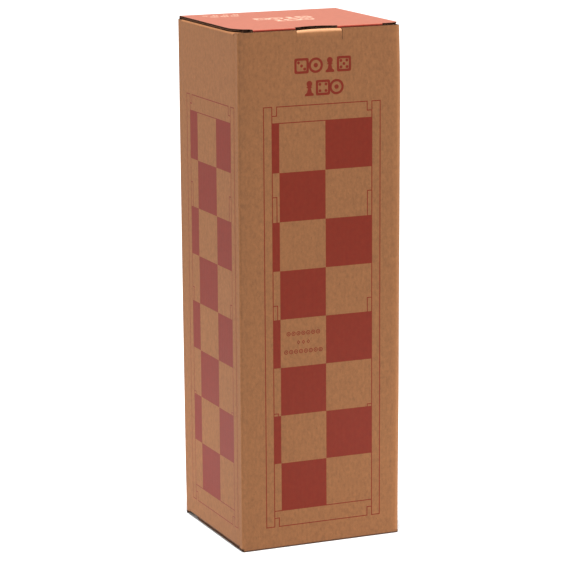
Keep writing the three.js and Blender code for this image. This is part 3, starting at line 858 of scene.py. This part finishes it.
# Printed signs: dice faces, rings, pawns and lozenges, in rows of (kinds, middle, height, pitch, stroke)
COLUMNS, SHIFT, _ = WALL_PRINTS["front"]
SMALL_X = SHIFT + (COLUMNS[0] + COLUMNS[1] / 2 - sum(COLUMNS) / 2) * SQUARE  # the fifth row's middle square
SMALL_Z = CHEQUER_TOP - 4.5 * SQUARE
LARGE = (10.6 * MM, 10.4 * MM, 1.7 * MM)
SMALL = (3 * MM, 3.7 * MM, 0.5 * MM)
MARK = (6 * MM, 7.6 * MM, 1.1 * MM)
FRONT_SIGNS = (
    ((3, "ring", "pawn", 5), (1.9 * MM, HEIGHT - 26 * MM), *LARGE),
    (("pawn", 4, "ring"), (1.9 * MM, HEIGHT - 41.5 * MM), 10.6 * MM, 10 * MM, 1.7 * MM),
    (["ring"] * 7, (SMALL_X, SMALL_Z + 6.4 * MM), *SMALL),
    (["lozenge"] * 3, (SMALL_X, SMALL_Z), *SMALL),
    (["ring"] * 8, (SMALL_X, SMALL_Z - 6.4 * MM), *SMALL),
)
LID_SIGNS = (
    ((3, "ring", "pawn", 5), (-1 * MM, 7 * MM), *LARGE),
    (("pawn", 4, "ring"), (1 * MM, -6 * MM), *LARGE),
    (["lozenge"] * 4, (-33 * MM, 42 * MM), *MARK),
    (["ring"] * 3, (-33 * MM, 34 * MM), *MARK),
)

# Shapes of the signs, in shares of half their height, or of the stroke where that is said
PIPS = {
    3: ((-1, 1), (0, 0), (1, -1)),
    4: ((-1, -1), (-1, 1), (1, -1), (1, 1)),
    5: ((-1, -1), (-1, 1), (0, 0), (1, -1), (1, 1)),
}
PIP_RADIUS = 0.62  # of the stroke
PIP_SPREAD = 0.42
RING_DOT = 0.3
LOZENGE = np.array([(0, 1), (-0.8, 0), (0, -1), (0.8, 0)])
LOZENGE_STROKE = 1.35  # of the stroke
DIE_POWER = 2 / 9  # rounds a die face's corners

# A pawn's right side, in shares of its whole height
PAWN_BODY = [(0.3, 0.0), (0.3, 0.12), (0.17, 0.22), (0.1, 0.48), (0.2, 0.56)]
PAWN_HEAD = 0.2
PAWN_HEAD_HEIGHT = 0.78


def ring_points(radius, count=40, power=1):
    """A circle, or with a lower power a square with rounded corners."""
    angles = np.linspace(0, 2 * math.pi, count, endpoint=False)
    places = np.stack([np.cos(angles), np.sin(angles)], 1)
    return radius * np.sign(places) * np.abs(places) ** power


def pawn_points():
    """A pawn's outline: foot, waist, collar and round head."""
    turn = np.linspace(-0.9, math.pi / 2, 9)
    head = [(PAWN_HEAD * math.cos(a), PAWN_HEAD_HEIGHT + PAWN_HEAD * math.sin(a)) for a in turn]
    right = PAWN_BODY + head
    return np.array(right + [(-x, y) for x, y in reversed(right[:-1])]) - (0, 0.5)


def draw_sign(work, kind, centre, size, stroke, place):
    """Adds one printed sign, size high, with lines stroke wide."""
    half = size / 2
    if kind in PIPS:
        outer, inner = (ring_points(radius, 48, DIE_POWER) for radius in (half, half - stroke))
        work.band(outer + centre, inner + centre, place)
        for pip in PIPS[kind]:
            middle = centre + PIP_SPREAD * half * np.array(pip)
            work.plate(ring_points(PIP_RADIUS * stroke, 16) + middle, place)
    elif kind == "ring":
        work.band(ring_points(half) + centre, ring_points(half - stroke) + centre, place)
        work.plate(ring_points(RING_DOT * half, 20) + centre, place)
    elif kind == "lozenge":
        inner = LOZENGE * (half - LOZENGE_STROKE * stroke)
        work.band(LOZENGE * half + centre, inner + centre, place)
    else:
        work.plate(pawn_points() * size + centre, place)


def front_place(u, v, height):
    """u runs to the right from the front wall's middle."""
    return wall_place(PATH.marks["front"] - u, v, height)


def signs(name, material, rows, place):
    work = Sheetwork()
    for kinds, (x, y), size, pitch, stroke in rows:
        start = x - (len(kinds) - 1) / 2 * pitch
        for i, kind in enumerate(kinds):
            draw_sign(work, kind, (start + i * pitch, y), size, stroke, place)
    return work.piece(name, material)


SQUARES_INSET = 0.4 * MM  # from the leaves' knuckles


def tower_squares():
    """Chequer printed on the leaves of the folded board, seen on the tower's four sides."""
    work = Sheetwork()
    half = leaf_high.x
    face = 2 * (leaf_low.x - SQUARES_INSET)
    for turn, wall in enumerate(("front", "right", "back", "left")):
        columns, _, starts_red = WALL_PRINTS[wall]
        rotation = np.array(Matrix.Rotation(turn * math.pi / 2, 3, "Z"))

        def place(u, v, height):
            return np.stack([u, SHEET - half - height, v], -1) @ rotation.T

        square = face / sum(columns)
        bar = (leaf_high.z - leaf_low.z - ROWS * square) / 2
        tops = row_edges(leaf_high.z - bar, square)
        for x0, x1, z0, z1 in chequer(column_edges(columns, face), tops, starts_red):
            work.plate([(x0, z0), (x1, z0), (x1, z1), (x0, z1)], place)
    return work.piece("board_printed_squares", "stain")


# Colours as display values from 0 to 255
KRAFT = (141, 92, 54)
RED_INK = (119, 31, 12)
WORN_INK = (190, 130, 110)
# pale cream of the strongest painted highlights
HIGHLIGHT_PALE = (214, 164, 124)
PAINTS = {"red": (190, 48, 40), "blue": (42, 84, 150), "green": (48, 118, 62), "yellow": (224, 172, 44)}

# Textures, as (scale per metre, octaves, roughness, stretch)
CLOUDS = (260, 4, 0.65)
FIBRES = (620, 3, 0.65, (1, 1, 0.6))
FINE = (3200, 2, 0.6)
FLECKS = (1500, 1, 0.5, (1, 1, 0.3))
DRAWN_LINES = (2600, 2, 0.6, (1, 1, 0.02))
DIE_NOISES = ((180,), (1200,), (900,))
PAINT_NOISES = ((260,), (900,), (420,))


def linear(colour, factor=1):
    """Display values as Blender's linear colour, made lighter or darker by a factor."""
    parts = [c / 255 for c in colour]
    parts = [p / 12.92 if p <= 0.04045 else ((p + 0.055) / 1.055) ** 2.4 for p in parts]
    return [p * factor for p in parts] + [1]


def grey(value):
    return [value, value, value, 1]


STEEL = ([0.5, 0.5, 0.51, 1], [0.68, 0.68, 0.69, 1])
IVORY = (linear((232, 224, 205)), linear((244, 238, 224)))


class Shader:
    """A Principled material and its texture nodes."""

    def __init__(self, name, roughness, specular=0.5, **sockets):
        self.material = bpy.data.materials.new(name)
        self.material.use_nodes = True
        self.tree = self.material.node_tree
        self.main = self.tree.nodes["Principled BSDF"]
        self.put(self.main, "Roughness", roughness)
        self.put(self.main, "Specular IOR Level", specular)
        for socket, value in sockets.items():
            self.put(self.main, socket.replace("_", " "), value)
        self.coordinates = self.tree.nodes.new("ShaderNodeTexCoord")

    def put(self, node, socket, value):
        if isinstance(value, bpy.types.NodeSocket):
            self.tree.links.new(value, node.inputs[socket])
        else:
            node.inputs[socket].default_value = value

    def node(self, kind, settings, inputs):
        """A node with its settings, and its inputs by name or number."""
        node = self.tree.nodes.new("ShaderNode" + kind)
        for key, value in settings.items():
            setattr(node, key, value)
        for socket, value in inputs.items():
            self.put(node, socket, value)
        return node

    def noise(self, scale, detail=2, rough=0.5, stretch=(1, 1, 1)):
        place = self.node("Mapping", {}, {"Vector": self.coordinates.outputs["Object"], "Scale": stretch})
        inputs = {"Vector": place.outputs["Vector"], "Scale": scale, "Detail": detail, "Roughness": rough}
        return self.node("TexNoise", {}, inputs).outputs["Fac"]

    def maths(self, operation, *values):
        return self.node("Math", {"operation": operation}, dict(enumerate(values))).outputs[0]

    def total(self, *values):
        total = values[0]
        for value in values[1:]:
            total = self.maths("ADD", total, value)
        return total

    def remap(self, value, low, high, to_low, to_high):
        return self.node("MapRange", {}, dict(enumerate((value, low, high, to_low, to_high)))).outputs[0]

    def mix(self, share, a, b):
        settings = {"data_type": "RGBA", "clamp_factor": True}
        return self.node("Mix", settings, {0: share, 6: a, 7: b}).outputs[2]

    def finish(self, colour, roughness, height, depth, strength):
        """Sets the colour, the roughness and a relief of a depth in millimetres, and gives the material."""
        relief = self.node("Bump", {}, {"Strength": strength, "Distance": depth * MM, "Height": height})
        self.put(self.main, "Base Color", colour)
        self.put(self.main, "Roughness", roughness)
        self.put(self.main, "Normal", relief.outputs["Normal"])
        return self.material


def paper_values(shader):
    """What kraft paper on fluted board shows: cloudy fibres, fine fibres and washboard."""
    clouds, fibres, fine = (shader.noise(*texture) for texture in (CLOUDS, FIBRES, FINE))
    sheet_u = shader.node("SeparateXYZ", {}, {"Vector": shader.coordinates.outputs["UV"]}).outputs["X"]
    wave = shader.maths("SINE", shader.maths("MULTIPLY", sheet_u, 2 * math.pi / FLUTE_PITCH))
    return clouds, fibres, fine, wave


def paper_relief(shader, fibres, fine, wave, washboard, fibre_height, fine_height):
    return shader.total(
        shader.maths("MULTIPLY", wave, 0.25 * washboard),
        shader.remap(fibres, 0.2, 0.8, 0, fibre_height),
        shader.remap(fine, 0.2, 0.8, 0, fine_height),
    )


def kraft(name, colour, contrast=1.0, washboard=1.0, painted_light_layer=True):
    """Brown kraft liner: mottled and flecked, with a faint washboard, and painted highlights and painted
    shade along the creases.
    """
    roughness = 0.78
    shader = Shader(name, roughness, 0.36)
    clouds, fibres, fine, wave = paper_values(shader)
    lights = [
        shader.remap(value, 0.25, 0.75, -strength * contrast, strength * contrast)
        for value, strength in ((clouds, 0.1), (fibres, 0.15), (fine, 0.09))
    ]
    lights.append(shader.maths("MULTIPLY", wave, 0.014 * washboard))
    if painted_light_layer:
        # painted light from the crease layer lightens the paper for painted highlights and darkens it for
        # painted shade
        wear = shader.node("Attribute", {"attribute_name": "crease"}, {}).outputs["Fac"]
        lights.append(shader.maths("MULTIPLY", wear, 0.11))
    share = shader.maths("MULTIPLY_ADD", shader.total(*lights), 0.5, 0.5)
    base = shader.mix(share, grey(0), linear(colour, 2))
    fleck_share = shader.remap(shader.noise(*FLECKS), 0.7, 0.78, 0, 0.4)
    paper = shader.mix(fleck_share, base, linear(colour, 0.45))
    if painted_light_layer:
        # the strongest painted highlights turn pale cream
        paper = shader.mix(shader.remap(wear, 2, 6, 0, 0.5), paper, linear(HIGHLIGHT_PALE))
    relief = paper_relief(shader, fibres, fine, wave, washboard, 0.5, 0.35)
    return shader.finish(paper, roughness, relief, 0.05, 0.8)


def ink_on_kraft(name, ink, paper, cover, gloss, specular=0.5):
    """Ink that lets a little of the paper's grain through and lies thinner on the flutes' valleys."""
    shader = Shader(name, gloss, specular)
    clouds, fibres, fine, wave = paper_values(shader)
    thin = shader.total(
        shader.remap(fibres, 0.35, 0.8, 0, 0.16),
        shader.remap(fine, 0.4, 0.8, 0, 0.14),
        shader.remap(wave, -1, 1, 0.03, 0),
    )
    inked = shader.mix(shader.remap(clouds, 0.3, 0.7, 0, 1), linear(ink, 0.93), linear(ink, 1.07))
    colour = shader.mix(shader.maths("MULTIPLY", thin, 1 - cover), inked, linear(paper))
    roughness = shader.remap(fine, 0.2, 0.8, gloss - 0.05, gloss + 0.08)
    return shader.finish(colour, roughness, paper_relief(shader, fibres, fine, wave, 1, 0.4, 0.25), 0.04, 0.8)


def wood(name, light, dark, grain_axis, gloss=0.42):
    """Fine straight-grained wood with short darker ray flecks, grain along one axis."""
    shader = Shader(name, gloss, 0.4, Coat_Weight=0.15, Coat_Roughness=0.25)
    along, short = ([share if axis == grain_axis else 1 for axis in "xyz"] for share in (0.06, 0.2))
    bands = shader.noise(120, 4, 0.6, along)
    grain = shader.noise(700, 3, 0.7, along)
    rays = shader.noise(1500, 1, 0.5, short)
    share = shader.total(
        shader.remap(bands, 0.3, 0.7, 0, 0.55),
        shader.remap(grain, 0.3, 0.75, 0, 0.35),
        shader.remap(rays, 0.62, 0.75, 0, 0.3),
    )
    colour = shader.mix(share, linear(light), linear(dark))
    roughness = shader.remap(grain, 0.3, 0.7, gloss - 0.06, gloss + 0.08)
    relief = shader.total(grain, shader.remap(rays, 0.6, 0.8, 0, -0.5))
    return shader.finish(colour, roughness, relief, 0.03, 0.6)


def smooth(name, shades, textures, gloss, depth, strength, **sockets):
    """A smooth finish: two shades mixed by one texture, and others for its roughness and relief."""
    shader = Shader(name, gloss[0], 0.5, **sockets)
    mottle, rough, relief = (shader.noise(*texture) for texture in textures)
    colour = shader.mix(mottle, *shades)
    return shader.finish(colour, shader.remap(rough, 0.3, 0.7, *gloss), relief, depth, strength)


MAT = {
    "kraft": kraft("kraft_outside", KRAFT),
    "inside": kraft("kraft_inside", (150, 106, 73), 0.9, 0.8, False),
    # raw cut edges and the medium: the board's own darker brown, made darker still as painted shade of the
    # gaps round them
    "raw": kraft("kraft_raw_edge", (82, 51, 32), 0.8, 0.0, False),
    "ink": ink_on_kraft("red_ink", RED_INK, KRAFT, 0.7, 0.55, 0.2),
    # the lid's red, lighter than the walls' red partly as its own lighter print and partly as painted light
    # from above
    "lid_ink_lit": ink_on_kraft("red_ink_lid_lit", (165, 92, 71), WORN_INK, 0.2, 0.36),
    # a darker copy of the lid's red, painted shade on the lid's front bend
    "crease_ink_shaded": ink_on_kraft("red_ink_crease_shaded", (146, 44, 28), WORN_INK, 0.2, 0.7, 0.12),
    "pale_ink": ink_on_kraft("pale_ink", (196, 160, 138), (170, 100, 80), 0.3, 0.5),
    "stain": wood("red_stain", (148, 58, 44), (112, 38, 28), "z", 0.4),
}

# Materials of the wooden set, by the start of each node's name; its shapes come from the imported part
BEECH = wood("beech_flat", (204, 156, 106), (170, 118, 74), "x")
INNER = {
    "board_leaf": wood("beech_upright", (206, 160, 110), (172, 122, 76), "z"),
    "tower": BEECH,
    "hinge_pin": smooth("drawn_steel", STEEL, [DRAWN_LINES] * 3, (0.22, 0.38), 0.01, 0.5, Metallic=1.0),
    "draught_light": BEECH,
    "draught_dark": wood("red_stain_flat", (140, 52, 40), (104, 34, 26), "x", 0.38),
    "die": smooth("die_plastic", IVORY, DIE_NOISES, (0.18, 0.28), 0.01, 0.4, Subsurface_Weight=0.1),
}
for paint_name, shade in PAINTS.items():
    shades = (linear(shade, 0.85), linear(shade, 1.12))
    coat = {"Coat_Weight": 0.4, "Coat_Roughness": 0.12}
    INNER["pawn_" + paint_name] = smooth(
        "paint_" + paint_name, shades, PAINT_NOISES, (0.22, 0.36), 0.05, 0.4, **coat
    )


def dress_inner_nodes():
    for node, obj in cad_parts.items():
        for start, material in INNER.items():
            if node.startswith(start):
                obj.data.materials.clear()
                obj.data.materials.append(material)


def carry(piece, body):
    """The piece rides on a body."""
    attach(piece, body)


def stand_in(piece, body, node):
    """A carried piece that stands for a CAD node."""
    carry(piece, body)
    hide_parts(node)


def join(made):
    """Bakes a crease strip's place into its mesh."""
    piece, start, stop = made
    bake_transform(piece)


def build_carton():
    closures = (("top", "lid", "lid_print"), ("bottom", "bottom", "kraft_board"))
    stand_in(sleeve(), "carton", "carton_sleeve")
    for end, panel, slot in closures:
        stand_in(lid(end, panel + "_board"), panel, panel + "_panel")
        stand_in(tuck(end, panel + "_tuck_board"), panel + "_tuck", panel + "_tuck_flap")
    stand_in(lock_tab(), "lock_tab", "lock_tab")
    for end in ("top", "bottom"):
        for side, hand in ((-1, "left"), (1, "right")):
            body = f"{end}_dust_{hand}"
            stand_in(dust(end, side, body + "_board"), body, f"{end}_dust_flap_{hand}")
            join(dust_strip(end, side, body + "_crease"))
    for end, panel, slot in closures:
        wall_half, panel_half = hinge_strips(end, panel)
        carry(wall_half, "carton")
        carry(panel_half, panel)
        join(tuck_strip(end, panel + "_tuck_crease"))
    crease = tab_strip()
    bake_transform(crease)
    carry(signs("front_printed_signs", "ink", FRONT_SIGNS, front_place), "carton")
    carry(signs("lid_printed_signs", "pale_ink", LID_SIGNS, at_end("top", flat_place)), "lid")
    carry(tower_squares(), "carton")


# Setting: floor, light and camera
FLOOR_HALF = 12.0
WORLD_LIGHT = 0.3

# Lights: kind, place, the point that each faces, and settings
LIGHTS = {
    "overhead": ("SUN", (0, 0, 0), (0.0271, 0.0643, -0.9976), {"energy": 6.3, "angle": math.radians(6)}),
    "left_high": ("AREA", (-0.6, 0.25, 0.75), (-0.06, 0, 0.33), {"energy": 2.0, "size": 0.3}),
    "front_high": ("AREA", (0.4, -0.5, 0.75), (0, -0.05, 0.33), {"energy": 1.19, "size": 0.3}),
    "left_low": ("AREA", (-0.24, 0.1, 0.02), (-0.06, 0, 0.02), {"energy": 0.21, "size": 0.1}),
    "front_low": ("AREA", (0.14, -0.22, 0.02), (0, -0.05, 0.02), {"energy": 0.14, "size": 0.1}),
}

# Camera, fitted to the carton's corners in the photograph, in carton widths from the centre of its footprint
VIEW_AZIMUTH = math.radians(-22.87)
VIEW_ELEVATION = math.radians(11.84)
VIEW_ROLL = math.radians(-0.37)
VIEW_DISTANCE = 15.946
VIEW_TARGET = (-0.0307, 0, 1.461)
LENS = 170.47
SENSOR = 36


def build_floor():
    mesh = bpy.data.meshes.new("floor")
    s = FLOOR_HALF
    mesh.from_pydata([(-s, -s, 0), (s, -s, 0), (s, s, 0), (-s, s, 0)], [], [(0, 1, 2, 3)])
    shader = Shader("floor_white", 0.9, 0.1)
    shader.put(shader.main, "Base Color", shader.mix(shader.noise(3), grey(0.62), grey(0.64)))
    mesh.materials.append(shader.material)
    linked("floor", mesh)


def aimed(name, data, towards):
    """A new lamp or camera that looks in a direction."""
    obj = linked(name, data)
    obj.rotation_mode = "QUATERNION"
    obj.rotation_quaternion = Vector(towards).to_track_quat("-Z", "Y")
    return obj


def build_light():
    world = bpy.data.worlds.new("studio")
    bpy.context.scene.world = world
    world.use_nodes = True
    background = world.node_tree.nodes["Background"]
    background.inputs["Color"].default_value = grey(1)
    background.inputs["Strength"].default_value = WORLD_LIGHT
    for name, (kind, place, target, settings) in LIGHTS.items():
        light = bpy.data.lights.new(name, kind)
        for key, value in settings.items():
            setattr(light, key, value)
        obj = aimed(name, light, Vector(target) - Vector(place))
        obj.location = place
        obj.visible_camera = False
    bpy.context.scene.view_settings.view_transform = "Standard"


def build_camera():
    width = 2 * HALF_WIDTH
    data = bpy.data.cameras.new("camera")
    data.lens = LENS
    data.sensor_width = SENSOR
    flat = math.cos(VIEW_ELEVATION)
    back = Vector((math.sin(VIEW_AZIMUTH) * flat, -math.cos(VIEW_AZIMUTH) * flat, math.sin(VIEW_ELEVATION)))
    camera = aimed("camera", data, -back)
    camera.location = Vector(VIEW_TARGET) * width + back * VIEW_DISTANCE * width
    roll = Matrix.Rotation(VIEW_ROLL, 3, "Z").to_quaternion()
    camera.rotation_quaternion = camera.rotation_quaternion @ roll
    bpy.context.scene.camera = camera


build_carton()
dress_inner_nodes()
build_floor()
build_light()
build_camera()
